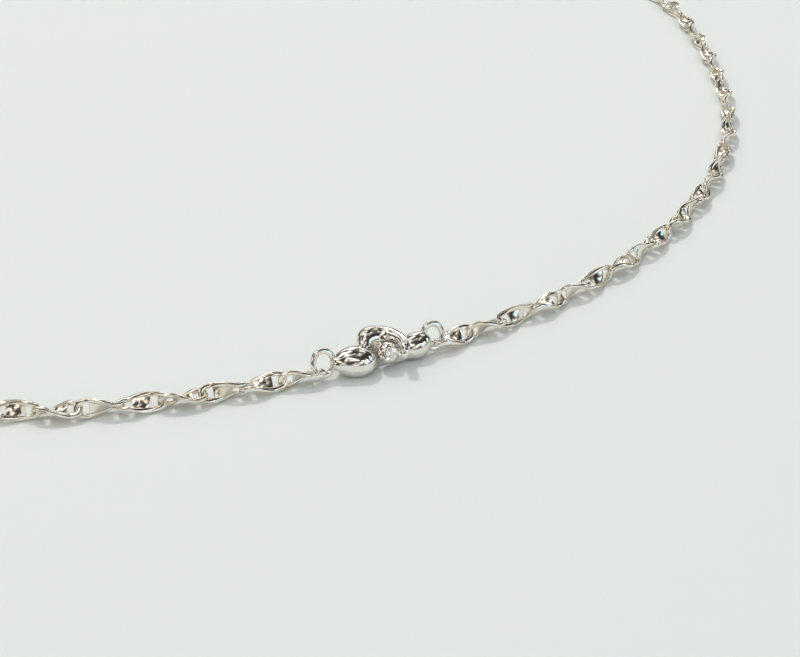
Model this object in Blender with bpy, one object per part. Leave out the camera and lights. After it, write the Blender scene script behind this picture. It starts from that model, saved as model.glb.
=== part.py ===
"""A fine silver necklace lying in a loop: a twisted anchor chain closed by a sculpted hook and ball clasp.

Units are metres and +Z is up. The necklace lies on the plane z = 0, with the origin at the centre of its outline,
and the clasp is at the front, towards -Y.
"""

import math

import bmesh
import bpy
from mathutils import Matrix, Vector

# Chain: flat anchor links, each an oval of wire with a flat bar across its middle, twisted about the chain's line
LINK_LENGTH = 0.00508
LINK_WIDTH = 0.00215
LINK_WIRE = 0.00052
LINK_THICKNESS = 0.00044
BAR_LENGTH = 0.00175
LINK_TWIST = math.radians(70.0)
LINK_TO_LINK_TURN = math.radians(113.7)
LINKS_A_SIDE = 53
LINK_BITE = 0.00006
LINK_EDGE = 0.6 * LINK_THICKNESS
# The wire's shoulder and tip corners, as shares of a link's half length and half width to the wire's middle
SHOULDER_SHARES = (0.82, 0.90)
TIP_SHARES = (1.0, 0.50)
FIRST_TURN_RIGHT = math.radians(15.3)
FIRST_TURN_LEFT = math.radians(-48.6)

# Clasp: two castings, each ending in a wire eyelet, and a round stone set in the ball. The stone's crown and girdle
# are shares of its depth, and its table and kite facets are shares of its diameter
CLASP_LENGTH = 0.0124
EYELET_WIDTH = 0.0027
EYELET_HEIGHT = 0.0031
EYELET_WIRE = 0.00048
EYELET_LEAN = math.radians(18.0)
EYELET_LIFT = 0.00046
STONE_DIAMETER = 0.00100
STONE_DEPTH = 0.00062
CROWN_SHARE = 0.24
GIRDLE_SHARE = 0.05
TABLE_SHARE = 0.56
KITE_SHARE = 0.80
SEAT_DEPTH = 0.00075
SEAT_CLEARANCE = 0.00005
HOOK_CLEARANCE = 0.00016

# Where the necklace lies: points chosen along the line of the chain, from the clasp's centre and anticlockwise
ROUTE = [
    (0.0228, -0.0651),
    (0.0350, -0.0582),
    (0.0452, -0.0503),
    (0.0541, -0.0406),
    (0.0610, -0.0297),
    (0.0660, -0.0176),
    (0.0689, -0.0045),
    (0.0694, 0.0092),
    (0.0685, 0.0225),
    (0.0660, 0.0352),
    (0.0534, 0.0581),
    (0.0313, 0.0720),
    (0.0047, 0.0731),
    (-0.0193, 0.0623),
    (-0.0391, 0.0442),
    (-0.0547, 0.0229),
    (-0.0661, -0.0014),
    (-0.0691, -0.0274),
    (-0.0599, -0.0524),
    (-0.0398, -0.0690),
    (-0.0137, -0.0745),
    (-0.0013, -0.0733),
    (0.0113, -0.0697),
]
ROUTE_STEPS = 24

# The castings' centre lines. Columns: along the clasp, back, up and radius, as shares of the space between the
# middles of the two eyelets' inner wires
HOOK_BODY = [
    (-0.507, 0.006, 0.189, 0.043),
    (-0.462, -0.016, 0.175, 0.079),
    (-0.376, 0.004, 0.157, 0.126),
    (-0.279, -0.005, 0.142, 0.161),
    (-0.210, -0.042, 0.139, 0.138),
    (-0.134, -0.035, 0.116, 0.088),
    (-0.056, -0.005, 0.077, 0.041),
]
HOOK_ARM = [
    (-0.228, 0.019, 0.157, 0.113),
    (-0.142, 0.131, 0.187, 0.118),
    (-0.018, 0.241, 0.196, 0.123),
    (0.104, 0.225, 0.201, 0.114),
    (0.196, 0.135, 0.226, 0.093),
    (0.226, -0.014, 0.269, 0.068),
    (0.210, -0.148, 0.283, 0.052),
    (0.189, -0.210, 0.261, 0.044),
    (0.171, -0.224, 0.226, 0.036),
]
BALL = (0.066, -0.054, 0.177, 0.111)
STEM = [
    (0.093, -0.049, 0.147, 0.081),
    (0.147, -0.034, 0.103, 0.071),
    (0.211, -0.010, 0.077, 0.067),
    (0.270, 0.010, 0.084, 0.079),
    (0.314, 0.012, 0.102, 0.096),
    (0.363, 0.014, 0.114, 0.113),
    (0.412, 0.019, 0.119, 0.138),
    (0.450, 0.010, 0.143, 0.113),
    (0.484, 0.006, 0.169, 0.071),
    (0.509, 0.003, 0.189, 0.043),
]
STONE_FACING = Vector((-0.14, -0.84, 0.51))

CLASP_SIDES = 8
EYELET_SEGMENTS = 12
EYELET_SIDES = 6


def clear_scene():
    for thing in list(bpy.data.objects):
        bpy.data.objects.remove(thing, do_unlink=True)


def metal(name, colour, roughness):
    material = bpy.data.materials.new(name)
    material.use_nodes = True
    shader = material.node_tree.nodes["Principled BSDF"]
    shader.inputs["Base Color"].default_value = (*colour, 1.0)
    shader.inputs["Metallic"].default_value = 1.0
    shader.inputs["Roughness"].default_value = roughness
    return material


def crystal(name, colour):
    material = metal(name, colour, 0.02)
    shader = material.node_tree.nodes["Principled BSDF"]
    shader.inputs["Metallic"].default_value = 0.0
    shader.inputs["Transmission Weight"].default_value = 1.0
    shader.inputs["IOR"].default_value = 2.2
    return material


def mesh_object(name, bm, material=None):
    bmesh.ops.recalc_face_normals(bm, faces=bm.faces)
    mesh = bpy.data.meshes.new(name)
    bm.to_mesh(mesh)
    bm.free()
    made = bpy.data.objects.new(name, mesh)
    bpy.context.collection.objects.link(made)
    made.parent = bpy.data.objects.get("necklace")
    if material:
        mesh.materials.append(material)
        mesh.shade_smooth()
        mesh.set_sharp_from_angle(angle=math.radians(50))
    return made


def helper(name, bm):
    """A body that only joins or cuts another one."""
    made = mesh_object(name, bm)
    made.hide_render = True
    made.display_type = "WIRE"
    return made


def combine(target, other, operation):
    modifier = target.modifiers.new(f"{operation.lower()} {other.name}", "BOOLEAN")
    modifier.operation = operation
    modifier.object = other


class Route:
    """The closed line that the chain lies along, measured from the clasp's centre and scaled to a given length."""

    def __init__(self, points):
        curve = bpy.data.curves.new("route", "CURVE")
        curve.dimensions = "3D"
        curve.resolution_u = ROUTE_STEPS
        spline = curve.splines.new("BEZIER")
        spline.bezier_points.add(len(points) - 1)
        spline.use_cyclic_u = True
        for knot, (x, y) in zip(spline.bezier_points, points):
            knot.co = (x, y, 0.0)
            knot.handle_left_type = knot.handle_right_type = "AUTO"
        guide = bpy.data.objects.new("route", curve)
        bpy.context.collection.objects.link(guide)
        bpy.context.view_layer.update()
        line = guide.to_mesh()
        self.points = [vertex.co.copy() for vertex in line.vertices]
        guide.to_mesh_clear()
        bpy.data.objects.remove(guide)
        self.points.append(self.points[0])
        self.marks = [0.0]
        for start, end in zip(self.points, self.points[1:]):
            self.marks.append(self.marks[-1] + (end - start).length)
        self.scale = 1.0

    def set_length(self, length):
        self.scale = length / self.marks[-1]

    def at(self, distance):
        """(point, direction) at this distance anticlockwise from the clasp's centre."""
        mark = (distance / self.scale) % self.marks[-1]
        step = next(i for i, end in enumerate(self.marks[1:]) if end >= mark)
        share = (mark - self.marks[step]) / (self.marks[step + 1] - self.marks[step])
        start, end = self.points[step], self.points[step + 1]
        return start.lerp(end, share) * self.scale, (end - start).normalized()


def frame_along(point, direction):
    """A frame at the point with X along the direction, Y to its left and Z up."""
    left = Vector((0.0, 0.0, 1.0)).cross(direction)
    turn = Matrix((direction, left, (0.0, 0.0, 1.0))).transposed()
    return Matrix.Translation(point) @ turn.to_4x4()


LINK_REACH = (LINK_LENGTH - LINK_WIRE) / 2
LINK_SPREAD = (LINK_WIDTH - LINK_WIRE) / 2
LINK_PITCH = LINK_LENGTH - 2 * LINK_WIRE + LINK_BITE
CHAIN_HEIGHT = math.hypot(LINK_WIDTH, LINK_EDGE) / 2


def twisted(x, y, z):
    """A point of a flat link, turned about the chain's line by its place along the link between its two holes."""
    twist_reach = (BAR_LENGTH / 2 + LINK_REACH) / 2 * 0.75
    turn = LINK_TWIST / 2 * max(-1.0, min(1.0, x / twist_reach))
    return Vector((x, y * math.cos(turn) - z * math.sin(turn), y * math.sin(turn) + z * math.cos(turn)))


def link_outline():
    """The wire's centre line, once round: the bar's corner, the shoulder and the tip's corner in each quarter."""
    quarter = [
        (BAR_LENGTH / 2, LINK_SPREAD),
        (LINK_REACH * SHOULDER_SHARES[0], LINK_SPREAD * SHOULDER_SHARES[1]),
        (LINK_REACH * TIP_SHARES[0], LINK_SPREAD * TIP_SHARES[1]),
    ]
    right_top = quarter
    right_bottom = [(x, -y) for x, y in reversed(quarter)]
    left_bottom = [(-x, -y) for x, y in quarter]
    left_top = [(-x, y) for x, y in reversed(quarter)]
    return [Vector(p) for p in right_top + right_bottom + left_bottom + left_top]


def add_link(bm, place):
    """One link of rolled wire, flat outside and ridged inside, with its bar, as one closed body."""
    half_wire, half_thick = LINK_WIRE / 2, LINK_THICKNESS / 2
    shoulder, flat_side = LINK_WIRE * 0.1, LINK_EDGE / 2
    section = [
        (half_wire, flat_side),
        (shoulder, half_thick),
        (-half_wire, 0),
        (shoulder, -half_thick),
        (half_wire, -flat_side),
    ]
    outline = link_outline()
    count, sides = len(outline), len(section)
    rings = []
    for i, corner in enumerate(outline):
        before = (corner - outline[i - 1]).normalized()
        after = (outline[(i + 1) % count] - corner).normalized()
        along = (before + after).normalized()
        outward = Vector((-along.y, along.x)) / along.dot(after)
        ring = []
        for out, up in section:
            flat = corner + outward * out
            ring.append(bm.verts.new(place @ twisted(flat.x, flat.y, up)))
        rings.append(ring)
    upper_run, lower_run = count - 1, count // 2 - 1
    for i in range(count):
        here, there = rings[i], rings[(i + 1) % count]
        for j in range(sides):
            meets_bar = i in (upper_run, lower_run) and j in (1, 2)
            if not meets_bar:
                following = (j + 1) % sides
                bm.faces.new((here[j], there[j], there[following], here[following]))
    corners = rings[upper_run], rings[0], rings[lower_run], rings[lower_run + 1]
    for j in (1, 3):
        bm.faces.new([ring[j] for ring in corners])
    for upper, lower in ((corners[1], corners[2]), (corners[3], corners[0])):
        for j in (1, 2):
            bm.faces.new((upper[j], upper[j + 1], lower[j + 1], lower[j]))


def chain(name, places, material):
    """Every second link is one body and those between are another; joined, they are one chain."""
    bodies = bmesh.new(), bmesh.new()
    for i, place in enumerate(places):
        add_link(bodies[i % 2], place)
    links = mesh_object(name, bodies[0], material)
    combine(links, helper(f"{name} between", bodies[1]), "UNION")
    return links


EYELET_REACH = (EYELET_WIDTH - EYELET_WIRE) / 2
EYELET_RISE = (EYELET_HEIGHT - EYELET_WIRE) / 2
CASTING_SPAN = CLASP_LENGTH - 2 * EYELET_REACH


def smooth_line(stations, steps):
    """The stations with steps - 1 more between each two, on a smooth line through them."""
    last = len(stations) - 1
    line = []
    for i in range(last):
        a, b, c, d = (stations[max(0, min(last, i + k))] for k in (-1, 0, 1, 2))
        for step in range(steps):
            t = step / steps
            weights = (
                (-t + 2 * t**2 - t**3) / 2,
                (2 - 5 * t**2 + 3 * t**3) / 2,
                (t + 4 * t**2 - 3 * t**3) / 2,
                (-(t**2) + t**3) / 2,
            )
            line.append([sum(w * v for w, v in zip(weights, values)) for values in zip(a, b, c, d)])
    line.append(list(stations[last]))
    return line


def add_tube(bm, place, stations, across, steps):
    """A tube through the stations, whose radius changes with them. across is a direction that it never runs along."""
    line = smooth_line(stations, steps)
    centres = [Vector(row[:3]) * CASTING_SPAN for row in line]
    last = len(centres) - 1
    rings = []
    for i, centre in enumerate(centres):
        along = centres[min(i + 1, last)] - centres[max(i - 1, 0)]
        side = along.cross(across).normalized()
        up = side.cross(along).normalized()
        radius = line[i][3] * CASTING_SPAN
        ring = []
        for k in range(CLASP_SIDES):
            angle = 2 * math.pi * (k + 0.5) / CLASP_SIDES
            offset = (side * math.cos(angle) + up * math.sin(angle)) * radius
            ring.append(bm.verts.new(place @ (centre + offset)))
        rings.append(ring)
    for here, there in zip(rings, rings[1:]):
        for k in range(CLASP_SIDES):
            following = (k + 1) % CLASP_SIDES
            bm.faces.new((here[k], here[following], there[following], there[k]))
    bm.faces.new(rings[0])
    bm.faces.new(rings[last])


EYELET_CENTRE_HEIGHT = EYELET_RISE * math.cos(EYELET_LEAN) + EYELET_WIRE / 2 + EYELET_LIFT
HOOK_SINE = (CHAIN_HEIGHT - EYELET_CENTRE_HEIGHT) / (EYELET_RISE * math.cos(EYELET_LEAN))
EYELET_SETBACK = -EYELET_RISE * math.sin(EYELET_LEAN) * HOOK_SINE
HOOK_REACH = CLASP_LENGTH / 2 + EYELET_REACH * math.sqrt(1 - HOOK_SINE**2)
LINK_START = HOOK_REACH - EYELET_WIRE / 2 - LINK_WIRE / 2 - HOOK_CLEARANCE


def eyelet(name, place, side):
    """A leaning oval ring of wire at one end of the clasp. side is 1 for the right end and -1 for the left."""
    bm = bmesh.new()
    centre = Vector((side * CLASP_LENGTH / 2, EYELET_SETBACK, EYELET_CENTRE_HEIGHT))
    rise = Vector((0.0, math.sin(EYELET_LEAN), math.cos(EYELET_LEAN)))
    through = Vector((1.0, 0.0, 0.0)).cross(rise)
    rings = []
    for i in range(EYELET_SEGMENTS):
        turn = 2 * math.pi * i / EYELET_SEGMENTS
        middle = Vector((EYELET_REACH * math.cos(turn), 0, 0)) + rise * EYELET_RISE * math.sin(turn)
        outward = middle.normalized()
        ring = []
        for k in range(EYELET_SIDES):
            angle = 2 * math.pi * k / EYELET_SIDES
            offset = (outward * math.cos(angle) + through * math.sin(angle)) * EYELET_WIRE / 2
            ring.append(bm.verts.new(place @ (centre + middle + offset)))
        rings.append(ring)
    for i in range(EYELET_SEGMENTS):
        here, there = rings[i], rings[(i + 1) % EYELET_SEGMENTS]
        for k in range(EYELET_SIDES):
            following = (k + 1) % EYELET_SIDES
            bm.faces.new((here[k], here[following], there[following], there[k]))
    return helper(name, bm)


def floor_cutter(place):
    bm = bmesh.new()
    bmesh.ops.create_cube(bm, size=2 * CLASP_LENGTH)
    bmesh.ops.translate(bm, verts=bm.verts, vec=(0, 0, -CLASP_LENGTH))
    bmesh.ops.transform(bm, verts=bm.verts, matrix=place)
    return helper("underside", bm)


def hook_half(place, underside, material):
    """The left casting: eyelet, neck and a fat body, and an arm that passes behind the ball and hooks over its waist."""
    bm = bmesh.new()
    add_tube(bm, place, HOOK_BODY, across=Vector((0.0, 0.0, 1.0)), steps=2)
    half = mesh_object("clasp_hook_half", bm, material)
    arm = bmesh.new()
    add_tube(arm, place, HOOK_ARM, across=Vector((0.0, -0.55, 0.83)), steps=2)
    combine(half, helper("hook arm", arm), "UNION")
    combine(half, eyelet("hook eyelet", place, side=-1), "UNION")
    combine(half, underside, "DIFFERENCE")


def ball_half(place, underside, material):
    """The right casting: eyelet, neck, a fat body and a waist, which leads to the ball that holds the stone."""
    bm = bmesh.new()
    add_tube(bm, place, STEM, across=Vector((0.0, 0.0, 1.0)), steps=2)
    half = mesh_object("clasp_ball_half", bm, material)
    facing = STONE_FACING.normalized()
    *centre, radius = (value * CASTING_SPAN for value in BALL)
    turn = Matrix.Translation(centre) @ facing.to_track_quat("Z", "Y").to_matrix().to_4x4()
    ball = bmesh.new()
    bmesh.ops.create_uvsphere(ball, u_segments=12, v_segments=8, radius=radius, matrix=place @ turn)
    combine(half, helper("ball", ball), "UNION")
    combine(half, eyelet("ball eyelet", place, side=1), "UNION")
    seat_radius = STONE_DIAMETER / 2 + SEAT_CLEARANCE
    rim = math.sqrt(radius**2 - seat_radius**2)
    seat = bmesh.new()
    bmesh.ops.create_cone(
        seat, cap_ends=True, segments=10, radius1=seat_radius, radius2=seat_radius, depth=2 * SEAT_DEPTH
    )
    bmesh.ops.transform(seat, verts=seat.verts, matrix=place @ turn @ Matrix.Translation((0, 0, rim)))
    combine(half, helper("seat", seat), "DIFFERENCE")
    combine(half, underside, "DIFFERENCE")
    return place @ turn @ Matrix.Translation((0, 0, rim))


def stone(seat_mouth, material):
    """A round brilliant: an eight-sided table, a crown of facets, a sixteen-sided girdle and a pointed pavilion."""
    crown, girdle = STONE_DEPTH * CROWN_SHARE, STONE_DEPTH * GIRDLE_SHARE
    girdle_top = -crown * 0.6
    radius = STONE_DIAMETER / 2
    bm = bmesh.new()

    def level(share, height, count, turned):
        angles = (2 * math.pi * (i + turned) / count for i in range(count))
        return [
            bm.verts.new((radius * share * math.cos(a), radius * share * math.sin(a), height)) for a in angles
        ]

    table = level(TABLE_SHARE, girdle_top + crown, 8, 0.5)
    kites = level(KITE_SHARE, girdle_top + crown * 0.55, 8, 0.0)
    upper = level(1.0, girdle_top, 16, 0.0)
    lower = level(1.0, girdle_top - girdle, 16, 0.0)
    culet = bm.verts.new((0.0, 0.0, girdle_top + crown - STONE_DEPTH))
    bm.faces.new(table)
    for i in range(8):
        nearest, beyond = table[i - 1], table[i]
        bm.faces.new((nearest, kites[i], beyond))
        bm.faces.new((kites[i], upper[2 * i], upper[2 * i + 1]))
        bm.faces.new((kites[i], upper[2 * i - 1], upper[2 * i]))
        bm.faces.new((beyond, kites[i], upper[2 * i + 1]))
        bm.faces.new((beyond, upper[2 * i + 1], kites[(i + 1) % 8]))
    for i in range(16):
        bm.faces.new((upper[i - 1], upper[i], lower[i], lower[i - 1]))
        bm.faces.new((lower[i - 1], lower[i], culet))
    bmesh.ops.transform(bm, verts=bm.verts, matrix=seat_mouth)
    gem = mesh_object("stone", bm, material)
    gem.data.shade_flat()


def side_places(route, first_distance, direction, first_turn):
    """Where the links of one side of the chain lie, from the clasp towards the back."""
    places = []
    for i in range(LINKS_A_SIDE):
        point, heading = route.at(direction * (first_distance + i * LINK_PITCH))
        point.z = CHAIN_HEIGHT
        turn = Matrix.Rotation(first_turn + direction * i * LINK_TO_LINK_TURN, 4, "X")
        places.append(frame_along(point, heading) @ turn)
    return places


def centre_on_origin():
    """Moves the whole necklace so that the middle of its outline is at the origin."""
    bpy.context.view_layer.update()
    graph = bpy.context.evaluated_depsgraph_get()
    corners = []
    for thing in bpy.data.objects:
        if thing.type == "MESH" and not thing.hide_render:
            box = thing.evaluated_get(graph).bound_box
            corners += [thing.matrix_world @ Vector(corner) for corner in box]
    for axis in (0, 1):
        values = [corner[axis] for corner in corners]
        bpy.data.objects["necklace"].location[axis] -= (min(values) + max(values)) / 2


def main():
    clear_scene()
    bpy.context.collection.objects.link(bpy.data.objects.new("necklace", None))
    silver = metal("polished silver", (0.91, 0.89, 0.85), 0.12)
    chain_silver = metal("chain silver", (0.90, 0.88, 0.83), 0.18)
    gem = crystal("white stone", (0.95, 0.97, 1.0))

    route = Route(ROUTE)
    first_link = LINK_START + LINK_REACH
    side_length = first_link + (LINKS_A_SIDE - 1) * LINK_PITCH + LINK_REACH
    back_joint = LINK_WIRE + HOOK_CLEARANCE
    route.set_length(2 * side_length - back_joint)

    chain("chain_right", side_places(route, first_link, 1, FIRST_TURN_RIGHT), chain_silver)
    chain("chain_left", side_places(route, first_link, -1, FIRST_TURN_LEFT), chain_silver)

    left_end, right_end = route.at(-CLASP_LENGTH / 2)[0], route.at(CLASP_LENGTH / 2)[0]
    clasp = frame_along((left_end + right_end) / 2, (right_end - left_end).normalized())
    underside = floor_cutter(clasp)
    hook_half(clasp, underside, silver)
    seat_mouth = ball_half(clasp, underside, silver)
    stone(seat_mouth, gem)
    centre_on_origin()


main()
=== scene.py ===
"""A fine silver necklace lying in a loop on a pale table, seen from the front and a little above."""

import math

import bpy
from mathutils import Matrix, Vector


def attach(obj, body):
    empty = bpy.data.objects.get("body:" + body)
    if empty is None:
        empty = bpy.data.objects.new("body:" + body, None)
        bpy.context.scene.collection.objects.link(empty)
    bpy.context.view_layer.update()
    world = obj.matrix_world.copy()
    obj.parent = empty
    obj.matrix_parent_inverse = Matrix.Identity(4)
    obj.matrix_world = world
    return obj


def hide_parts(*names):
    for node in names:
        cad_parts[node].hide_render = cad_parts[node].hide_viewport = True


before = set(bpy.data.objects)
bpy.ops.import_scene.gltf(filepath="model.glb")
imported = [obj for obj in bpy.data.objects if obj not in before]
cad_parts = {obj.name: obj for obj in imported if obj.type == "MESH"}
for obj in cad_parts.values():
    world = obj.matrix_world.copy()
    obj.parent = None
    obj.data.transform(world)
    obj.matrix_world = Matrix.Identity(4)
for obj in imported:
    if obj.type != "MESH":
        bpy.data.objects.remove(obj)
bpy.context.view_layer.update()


# The chain's line: where the chain lies on the table, once round from the clasp's middle, anticlockwise. The points
# are those of the solids, and the whole line is scaled to the length that the links and the clasp take up.
CHAIN_LENGTH = 0.447521

chain_line = bpy.data.curves.new("chain_line", "CURVE")
chain_line.dimensions = "3D"
chain_line.resolution_u = 24
line = chain_line.splines.new("BEZIER")
route = [
    (0.0228, -0.0651),
    (0.0350, -0.0582),
    (0.0452, -0.0503),
    (0.0541, -0.0406),
    (0.0610, -0.0297),
    (0.0660, -0.0176),
    (0.0689, -0.0045),
    (0.0694, 0.0092),
    (0.0685, 0.0225),
    (0.0660, 0.0352),
    (0.0534, 0.0581),
    (0.0313, 0.0720),
    (0.0047, 0.0731),
    (-0.0193, 0.0623),
    (-0.0391, 0.0442),
    (-0.0547, 0.0229),
    (-0.0661, -0.0014),
    (-0.0691, -0.0274),
    (-0.0599, -0.0524),
    (-0.0398, -0.0690),
    (-0.0137, -0.0745),
    (-0.0013, -0.0733),
    (0.0113, -0.0697),
]
line.bezier_points.add(len(route) - 1)
line.use_cyclic_u = True
for knot, (x, y) in zip(line.bezier_points, route):
    knot.co = (x, y, 0.0)
    knot.handle_left_type = knot.handle_right_type = "AUTO"
guide = bpy.data.objects.new("chain_line", chain_line)
bpy.context.collection.objects.link(guide)
bpy.context.view_layer.update()
drawn = guide.to_mesh()
trail = [vertex.co.copy() for vertex in drawn.vertices]
trail.append(trail[0])
guide.to_mesh_clear()
bpy.data.objects.remove(guide)
marks = [0.0]
for start, end in zip(trail, trail[1:]):
    marks.append(marks[-1] + (end - start).length)
line_scale = CHAIN_LENGTH / marks[-1]


def lying_at(distance):
    """A frame on the chain's line, this far from the clasp's middle: X along the line, Y to its left and Z up."""
    mark = (distance / line_scale) % marks[-1]
    step = next(i for i, end in enumerate(marks[1:]) if end >= mark)
    share = (mark - marks[step]) / (marks[step + 1] - marks[step])
    start, end = trail[step], trail[step + 1]
    point = start.lerp(end, share) * line_scale
    ahead = (end - start).normalized()
    left = Vector((0.0, 0.0, 1.0)).cross(ahead)
    turn = Matrix((ahead, left, (0.0, 0.0, 1.0))).transposed()
    return Matrix.Translation(point) @ turn.to_4x4()


def polished_silver(name, colour, dull_colour, roughness, grain):
    """Polished silver: bright, faintly warm metal with fine handling marks and a thin dull bloom in patches."""
    material = bpy.data.materials.new(name)
    material.use_nodes = True
    tree = material.node_tree
    shader = tree.nodes["Principled BSDF"]
    shader.inputs["Metallic"].default_value = 1.0
    where = tree.nodes.new("ShaderNodeTexCoord")

    bloom = tree.nodes.new("ShaderNodeTexNoise")
    bloom.inputs["Scale"].default_value = 420.0
    bloom.inputs["Detail"].default_value = 4.0
    tree.links.new(where.outputs["Object"], bloom.inputs["Vector"])
    tint = tree.nodes.new("ShaderNodeValToRGB")
    tint.color_ramp.elements[0].position = 0.38
    tint.color_ramp.elements[0].color = (*dull_colour, 1.0)
    tint.color_ramp.elements[1].position = 0.62
    tint.color_ramp.elements[1].color = (*colour, 1.0)
    tree.links.new(bloom.outputs["Fac"], tint.inputs["Fac"])
    tree.links.new(tint.outputs["Color"], shader.inputs["Base Color"])

    gloss = tree.nodes.new("ShaderNodeMapRange")
    gloss.inputs["From Min"].default_value = 0.3
    gloss.inputs["From Max"].default_value = 0.7
    gloss.inputs["To Min"].default_value = roughness * 1.35
    gloss.inputs["To Max"].default_value = roughness * 0.75
    tree.links.new(bloom.outputs["Fac"], gloss.inputs["Value"])
    tree.links.new(gloss.outputs["Result"], shader.inputs["Roughness"])

    ripple = tree.nodes.new("ShaderNodeTexNoise")
    ripple.inputs["Scale"].default_value = grain
    ripple.inputs["Detail"].default_value = 3.0
    tree.links.new(where.outputs["Object"], ripple.inputs["Vector"])
    bump = tree.nodes.new("ShaderNodeBump")
    bump.inputs["Strength"].default_value = 0.35
    bump.inputs["Distance"].default_value = 0.00003
    tree.links.new(ripple.outputs["Fac"], bump.inputs["Height"])
    tree.links.new(bump.outputs["Normal"], shader.inputs["Normal"])
    return material


# The chain: flat anchor links of polished silver, each an oval of rolled wire with a thin plate soldered across its
# middle. A link is modelled once and twisted about its length, and its copies are laid along the line, each turned on
# from the last, so that the chain runs as one ribbon and each link hooks through the next one's hole.
LINKS_A_SIDE = 53
LINK_PITCH = 0.0041
CHAIN_HEIGHT = 0.001083
FIRST_LINK = 0.008621
LINK_LENGTH = 0.00508
LINK_WIDTH = 0.00215
LINK_WIRE = 0.00052
LINK_THICKNESS = 0.00044
BAR_LENGTH = 0.0020
BAR_THICKNESS = 0.00026
LINK_TWIST = math.radians(70.0)
TWIST_RUN = (0.267, 0.733)
LINK_TO_LINK_TURN = math.radians(113.7)
FIRST_TURN_RIGHT = math.radians(15.3)
FIRST_TURN_LEFT = math.radians(-48.6)
OVAL_SQUARENESS = 3.4
WIRE_SQUARENESS = 4.5
TORUS_TUBE = 0.2
OVAL_STEPS = 56
WIRE_STEPS = 12


def squared(cosine, sine, squareness):
    """A point on an oval that is squarer than a circle the higher its squareness is above 2."""
    power = 2.0 / squareness
    return math.copysign(abs(cosine) ** power, cosine), math.copysign(abs(sine) ** power, sine)


def oval_point(turn):
    """Where the middle of the link's wire is, this far round the link."""
    reach, spread = (LINK_LENGTH - LINK_WIRE) / 2, (LINK_WIDTH - LINK_WIRE) / 2
    x, y = squared(math.cos(turn), math.sin(turn), OVAL_SQUARENESS)
    return Vector((x * reach, y * spread, 0.0))


bpy.ops.object.select_all(action="DESELECT")
bpy.ops.mesh.primitive_torus_add(
    major_radius=1.0, minor_radius=TORUS_TUBE, major_segments=OVAL_STEPS, minor_segments=WIRE_STEPS
)
link = bpy.context.object
link.name = "link"
for vertex in link.data.vertices:
    turn = math.atan2(vertex.co.y, vertex.co.x)
    outer = (math.hypot(vertex.co.x, vertex.co.y) - 1.0) / TORUS_TUBE
    upper = vertex.co.z / TORUS_TUBE
    along = (oval_point(turn + 0.01) - oval_point(turn - 0.01)).normalized()
    outward = Vector((along.y, -along.x, 0.0))
    wide, thick = squared(outer, upper, WIRE_SQUARENESS)
    across, up = outward * (wide * LINK_WIRE / 2), Vector((0, 0, thick * LINK_THICKNESS / 2))
    vertex.co = oval_point(turn) + across + up

bpy.ops.object.select_all(action="DESELECT")
bpy.ops.mesh.primitive_grid_add(x_subdivisions=9, y_subdivisions=3, size=1.0)
bar = bpy.context.object
bar.scale = (BAR_LENGTH, LINK_WIDTH - LINK_WIRE, 1.0)
bpy.ops.object.transform_apply(location=False, rotation=False, scale=True)
for name, kind, settings in (
    ("thickness", "SOLIDIFY", {"thickness": BAR_THICKNESS, "offset": 0.0}),
    ("edges", "BEVEL", {"width": 0.00005, "segments": 2, "limit_method": "ANGLE"}),
):
    modifier = bar.modifiers.new(name, kind)
    for setting, value in settings.items():
        setattr(modifier, setting, value)
    bpy.ops.object.modifier_apply(modifier=name)

link.select_set(True)
bar.select_set(True)
bpy.context.view_layer.objects.active = link
bpy.ops.object.join()
link = bpy.context.object
twist = link.modifiers.new("twist", "SIMPLE_DEFORM")
twist.deform_method = "TWIST"
twist.deform_axis = "X"
twist.angle = LINK_TWIST
twist.limits = TWIST_RUN
bpy.ops.object.modifier_apply(modifier="twist")
bpy.ops.object.shade_smooth_by_angle(angle=math.radians(50))

chain_silver = polished_silver("chain_silver", (0.96, 0.91, 0.82), (0.84, 0.76, 0.64), 0.14, 2600.0)
for name, side, first_turn in (("chain_right", 1, FIRST_TURN_RIGHT), ("chain_left", -1, FIRST_TURN_LEFT)):
    bpy.ops.object.select_all(action="DESELECT")
    links = []
    for i in range(LINKS_A_SIDE):
        place = lying_at(side * (FIRST_LINK + i * LINK_PITCH))
        place.translation.z = CHAIN_HEIGHT
        place = place @ Matrix.Rotation(first_turn + side * i * LINK_TO_LINK_TURN, 4, "X")
        copy = bpy.data.objects.new(f"{name}_link", link.data.copy())
        bpy.context.collection.objects.link(copy)
        copy.data.transform(place)
        copy.select_set(True)
        links.append(copy)
    bpy.context.view_layer.objects.active = links[0]
    bpy.ops.object.join()
    chain = bpy.context.object
    chain.name = chain.data.name = f"{name}_links"
    chain.data.materials.clear()
    chain.data.materials.append(chain_silver)
    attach(chain, "root")
    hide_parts(name)
bpy.data.objects.remove(link)


# The clasp's place: it lies straight between its two eyelets, which stand on the chain's line and lean back a little.
# Both castings are made as wax: drops and an eyelet, joined, flowed together, smoothed and cut flat at the table.
CLASP_LENGTH = 0.0124
EYELET_WIDTH = 0.0027
EYELET_HEIGHT = 0.0031
EYELET_WIRE = 0.00048
EYELET_LEAN = math.radians(18.0)
EYELET_SETBACK = 0.000280
EYELET_CENTRE_HEIGHT = 0.001946
CASTING_SPAN = CLASP_LENGTH - EYELET_WIDTH + EYELET_WIRE
WAX_GRAIN = 0.00005
POLISH_PASSES = 18
POLISHED_AWAY = 0.00011
DROPS_A_STATION = 7

left_end = lying_at(-CLASP_LENGTH / 2).translation
right_end = lying_at(CLASP_LENGTH / 2).translation
ahead = (right_end - left_end).normalized()
clasp_turn = Matrix((ahead, Vector((0, 0, 1)).cross(ahead), (0, 0, 1))).transposed().to_4x4()
clasp_place = Matrix.Translation((left_end + right_end) / 2) @ clasp_turn


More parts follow.
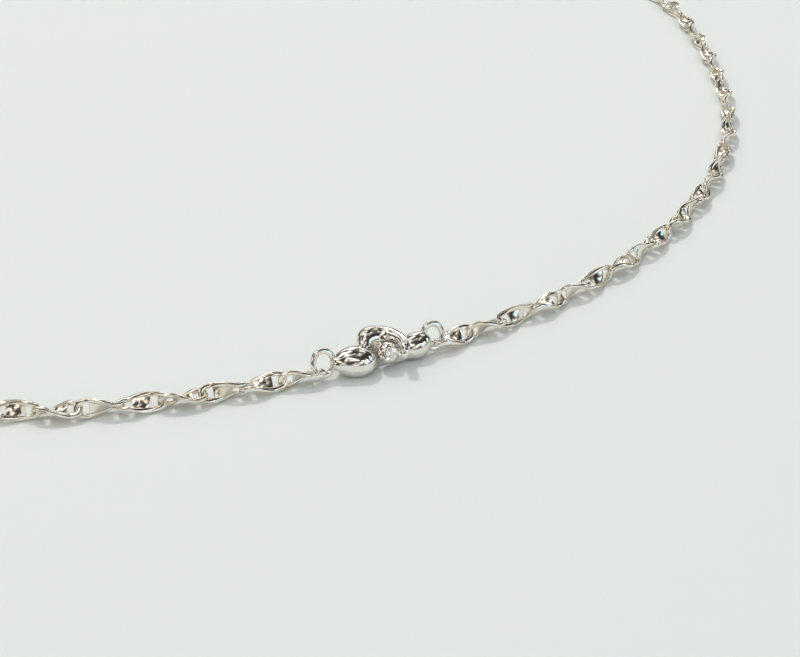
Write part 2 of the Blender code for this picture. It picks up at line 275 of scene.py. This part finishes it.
def wax_rod(name, stations):
    """Wax built up drop by drop through the stations: along the clasp, back, up and radius, as shares of its span."""
    bpy.ops.object.select_all(action="DESELECT")
    bpy.ops.mesh.primitive_ico_sphere_add(subdivisions=4, radius=1.0)
    drop = bpy.context.object
    rod = [drop]
    last = len(stations) - 1
    for i in range(last):
        a, b, c, d = (stations[max(0, min(last, i + k))] for k in (-1, 0, 1, 2))
        for step in range(DROPS_A_STATION):
            t = step / DROPS_A_STATION
            # The drops follow a smooth curve through the stations, weighted by the four nearest.
            weights = (
                (-t + 2 * t**2 - t**3) / 2,
                (2 - 5 * t**2 + 3 * t**3) / 2,
                (t + 4 * t**2 - 3 * t**3) / 2,
                (-(t**2) + t**3) / 2,
            )
            x, y, z, radius = (CASTING_SPAN * sum(w * v for w, v in zip(weights, values)) for values in zip(a, b, c, d))
            copy = bpy.data.objects.new(name, drop.data.copy())
            bpy.context.collection.objects.link(copy)
            copy.data.transform(Matrix.Translation((x, y, z)) @ Matrix.Scale(radius, 4))
            copy.select_set(True)
            rod.append(copy)
    x, y, z, radius = (CASTING_SPAN * value for value in stations[last])
    drop.data.transform(Matrix.Translation((x, y, z)) @ Matrix.Scale(radius, 4))
    bpy.context.view_layer.objects.active = drop
    bpy.ops.object.join()
    drop.name = name
    return drop


def wax_eyelet(side):
    """The leaning oval eyelet at the right (1) or left (-1) end of the clasp."""
    bpy.ops.object.select_all(action="DESELECT")
    bpy.ops.mesh.primitive_torus_add(
        major_radius=1.0, minor_radius=TORUS_TUBE, major_segments=64, minor_segments=20, rotation=(math.pi / 2, 0, 0)
    )
    ring = bpy.context.object
    bpy.ops.object.transform_apply(location=False, rotation=True, scale=False)
    reach, rise = (EYELET_WIDTH - EYELET_WIRE) / 2, (EYELET_HEIGHT - EYELET_WIRE) / 2
    centre = Vector((side * CLASP_LENGTH / 2, EYELET_SETBACK, EYELET_CENTRE_HEIGHT))
    lean = Matrix.Rotation(-EYELET_LEAN, 4, "X")
    tube_scale = (EYELET_WIRE / 2 + POLISHED_AWAY) / TORUS_TUBE
    for vertex in ring.data.vertices:
        flat = Vector((vertex.co.x, 0.0, vertex.co.z)).normalized()
        offset = vertex.co - flat
        middle = Vector((flat.x * reach, 0.0, flat.z * rise))
        vertex.co = lean @ (middle + offset * tube_scale) + centre
    return ring


def cast(name, waxes):
    """The waxes joined into one, flowed together at their joints and cast as one closed body that rests on Z = 0."""
    bpy.ops.object.select_all(action="DESELECT")
    for wax in waxes:
        wax.select_set(True)
    bpy.context.view_layer.objects.active = waxes[0]
    bpy.ops.object.join()
    casting = bpy.context.object
    casting.name = casting.data.name = name
    body = casting.modifiers.new("body", "REMESH")
    body.mode = "VOXEL"
    body.voxel_size = WAX_GRAIN
    bpy.ops.object.modifier_apply(modifier="body")
    polish = casting.modifiers.new("polish", "SMOOTH")
    polish.factor = 0.5
    polish.iterations = POLISH_PASSES
    bpy.ops.object.modifier_apply(modifier="polish")
    for vertex in casting.data.vertices:
        vertex.co.z = max(vertex.co.z, 0.0)
    bpy.ops.object.shade_smooth()
    return casting


# The clasp's hook half: one casting of polished silver. Behind its eyelet and thin neck it swells to a fat body, which
# ends in a blunt thumb in front. From its back an arm goes round behind the ball, rises, and hooks over the waist.
clasp_silver = polished_silver("clasp_silver", (0.94, 0.92, 0.88), (0.84, 0.80, 0.73), 0.07, 900.0)

hook_body = wax_rod(
    "hook_body",
    [
        (-0.507, 0.006, 0.189, 0.043),
        (-0.462, -0.016, 0.175, 0.079),
        (-0.376, 0.004, 0.157, 0.126),
        (-0.279, -0.005, 0.142, 0.161),
        (-0.210, -0.042, 0.139, 0.138),
        (-0.134, -0.035, 0.116, 0.088),
        (-0.056, -0.005, 0.077, 0.041),
    ],
)
hook_arm = wax_rod(
    "hook_arm",
    [
        (-0.228, 0.019, 0.157, 0.113),
        (-0.105, 0.150, 0.170, 0.078),
        (-0.018, 0.241, 0.196, 0.123),
        (0.104, 0.225, 0.201, 0.114),
        (0.196, 0.135, 0.226, 0.093),
        (0.226, -0.014, 0.269, 0.068),
        (0.210, -0.148, 0.283, 0.052),
        (0.189, -0.210, 0.261, 0.044),
        (0.171, -0.224, 0.226, 0.036),
    ],
)
arm_underside = wax_rod(
    "arm_underside",
    [
        (-0.060, 0.170, 0.125, 0.085),
        (-0.015, 0.200, 0.128, 0.104),
        (0.070, 0.195, 0.132, 0.100),
        (0.140, 0.160, 0.150, 0.086),
    ],
)
hook_half = cast("clasp_hook_casting", [hook_body, hook_arm, arm_underside, wax_eyelet(-1)])
hook_half.data.transform(clasp_place)
hook_half.data.materials.clear()
hook_half.data.materials.append(clasp_silver)
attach(hook_half, "root")
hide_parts("clasp_hook_half")


# The clasp's ball half: the other casting, of the same silver. Its eyelet, neck and body thin to a waist, which the
# hook goes over, and end in a ball in front. The ball is cut flat round the stone and drilled for it.
STONE_FACING = Vector((-0.14, -0.84, 0.51)).normalized()
BALL_CENTRE = Vector((0.066, -0.054, 0.177)) * CASTING_SPAN
BALL_RADIUS = 0.111 * CASTING_SPAN
SEAT_RADIUS = 0.00055
SEAT_DEPTH = 0.00075
COLLET_RADIUS = 0.00074

stem = wax_rod(
    "stem",
    [
        (0.093, -0.049, 0.147, 0.081),
        (0.147, -0.034, 0.103, 0.071),
        (0.211, -0.010, 0.077, 0.067),
        (0.270, 0.010, 0.098, 0.088),
        (0.314, 0.012, 0.118, 0.106),
        (0.363, 0.014, 0.128, 0.124),
        (0.412, 0.019, 0.130, 0.138),
        (0.450, 0.010, 0.147, 0.124),
        (0.484, 0.006, 0.169, 0.092),
        (0.509, 0.003, 0.189, 0.043),
    ],
)
bpy.ops.object.select_all(action="DESELECT")
bpy.ops.mesh.primitive_uv_sphere_add(segments=48, ring_count=32, radius=BALL_RADIUS, location=BALL_CENTRE)
ball = bpy.context.object
bpy.ops.object.transform_apply(location=True, rotation=False, scale=False)
ball_half = cast("clasp_ball_casting", [stem, ball, wax_eyelet(1)])

collet_height = math.sqrt(BALL_RADIUS**2 - COLLET_RADIUS**2)
seat_turn = STONE_FACING.to_track_quat("Z", "Y").to_euler()
for cutter_radius, bottom, depth in (
    (BALL_RADIUS, collet_height, BALL_RADIUS),
    (SEAT_RADIUS, collet_height - SEAT_DEPTH, 2 * SEAT_DEPTH),
):
    bpy.ops.object.select_all(action="DESELECT")
    bpy.ops.mesh.primitive_cylinder_add(
        vertices=48,
        radius=cutter_radius,
        depth=depth,
        location=BALL_CENTRE + STONE_FACING * (bottom + depth / 2),
        rotation=seat_turn,
    )
    cutter = bpy.context.object
    cut = ball_half.modifiers.new("cut", "BOOLEAN")
    cut.operation = "DIFFERENCE"
    cut.object = cutter
    bpy.ops.object.select_all(action="DESELECT")
    ball_half.select_set(True)
    bpy.context.view_layer.objects.active = ball_half
    bpy.ops.object.modifier_apply(modifier="cut")
    bpy.data.objects.remove(cutter)
bpy.ops.object.shade_smooth_by_angle(angle=math.radians(40))
ball_half.data.transform(clasp_place)
ball_half.data.materials.clear()
ball_half.data.materials.append(clasp_silver)
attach(ball_half, "root")
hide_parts("clasp_ball_half")


# The stone: a small white round brilliant, one millimetre across, set in the ball. It is the solid's own facets, given
# a clear glass that bends light as a cubic zirconia does.
stone_glass = bpy.data.materials.new("white_stone")
stone_glass.use_nodes = True
stone_shader = stone_glass.node_tree.nodes["Principled BSDF"]
stone_shader.inputs["Base Color"].default_value = (0.95, 0.97, 1.0, 1.0)
stone_shader.inputs["Roughness"].default_value = 0.02
stone_shader.inputs["Transmission Weight"].default_value = 1.0
stone_shader.inputs["IOR"].default_value = 2.2
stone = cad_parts["stone"]
stone.data.materials.clear()
stone.data.materials.append(stone_glass)


# The table, light and camera: a pale cool table top, a small hard light from behind on the left, a wide soft one
# overhead, cards that only the metal reflects, and the camera in front and a little above.
bpy.ops.object.select_all(action="DESELECT")
bpy.ops.mesh.primitive_plane_add(size=4.0, location=(0.0, 0.0, 0.0))
table = bpy.context.object
table.name = "table"
table_top = bpy.data.materials.new("table_top")
table_top.use_nodes = True
top_shader = table_top.node_tree.nodes["Principled BSDF"]
top_shader.inputs["Base Color"].default_value = (0.80, 0.83, 0.83, 1.0)
top_shader.inputs["Roughness"].default_value = 0.6
top_shader.inputs["Specular IOR Level"].default_value = 0.2
table.data.materials.append(table_top)


def lamp(name, place, aim, size, power, colour):
    light = bpy.data.lights.new(name, "AREA")
    light.shape = "RECTANGLE"
    light.size, light.size_y = size
    light.energy = power
    light.color = colour
    made = bpy.data.objects.new(name, light)
    bpy.context.collection.objects.link(made)
    made.location = place
    made.rotation_euler = (Vector(aim) - Vector(place)).to_track_quat("-Z", "Y").to_euler()
    return made


lamp("window", (-0.36, 0.43, 1.13), (0, 0, 0), (0.045, 0.045), 4.3, (1.0, 0.95, 0.88))
tent = lamp("tent", (0.0, 0.2, 2.0), (0, 0, 0), (4.0, 4.0), 33.0, (0.91, 0.97, 1.0))
tent.visible_glossy = False
for name, place, size, power, colour in (
    ("white_card", (-0.34, 0.10, 0.55), (0.26, 0.20), 0.36, (1.0, 0.99, 0.97)),
    ("far_card", (0.10, 0.70, 0.35), (0.50, 0.06), 0.6, (0.97, 0.98, 1.0)),
    ("front_card", (0.38, -0.60, 0.37), (0.18, 0.18), 0.10, (1.0, 0.99, 0.97)),
    ("blue_panel", (0.62, 0.10, 0.30), (0.16, 0.12), 0.11, (0.08, 0.50, 1.0)),
    ("low_blue_panel", (0.57, -0.37, 0.19), (0.30, 0.22), 0.25, (0.08, 0.50, 1.0)),
):
    card = lamp(name, place, (0, 0, 0), size, power, colour)
    card.visible_diffuse = False

world = bpy.data.worlds.new("room")
bpy.context.scene.world = world
world.use_nodes = True
sky = world.node_tree
around = sky.nodes.new("ShaderNodeTexCoord")
clutter = sky.nodes.new("ShaderNodeTexNoise")
clutter.inputs["Scale"].default_value = 2.2
clutter.inputs["Detail"].default_value = 2.0
sky.links.new(around.outputs["Generated"], clutter.inputs["Vector"])
tones = sky.nodes.new("ShaderNodeValToRGB")
tones.color_ramp.elements[0].position = 0.44
tones.color_ramp.elements[0].color = (0.028, 0.028, 0.028, 1.0)
tones.color_ramp.elements[1].position = 0.62
tones.color_ramp.elements[1].color = (1.0, 0.98, 0.92, 1.0)
middle = tones.color_ramp.elements.new(0.54)
middle.color = (0.18, 0.17, 0.15, 1.0)
sky.links.new(clutter.outputs["Fac"], tones.inputs["Fac"])
sky.links.new(tones.outputs["Color"], sky.nodes["Background"].inputs["Color"])
sky.nodes["Background"].inputs["Strength"].default_value = 1.35

camera_data = bpy.data.cameras.new("camera")
camera_data.lens = 76.5
camera_data.sensor_width = 36.0
camera_data.clip_start = 0.005
camera = bpy.data.objects.new("camera", camera_data)
bpy.context.collection.objects.link(camera)
camera.location = (0.02465, -0.2116, 0.0967)
camera.rotation_euler = (math.radians(57.966), 0.0, 0.0)
bpy.context.scene.camera = camera
bpy.context.scene.view_settings.view_transform = "Standard"

bpy.ops.object.select_all(action="DESELECT")
bpy.context.view_layer.update()
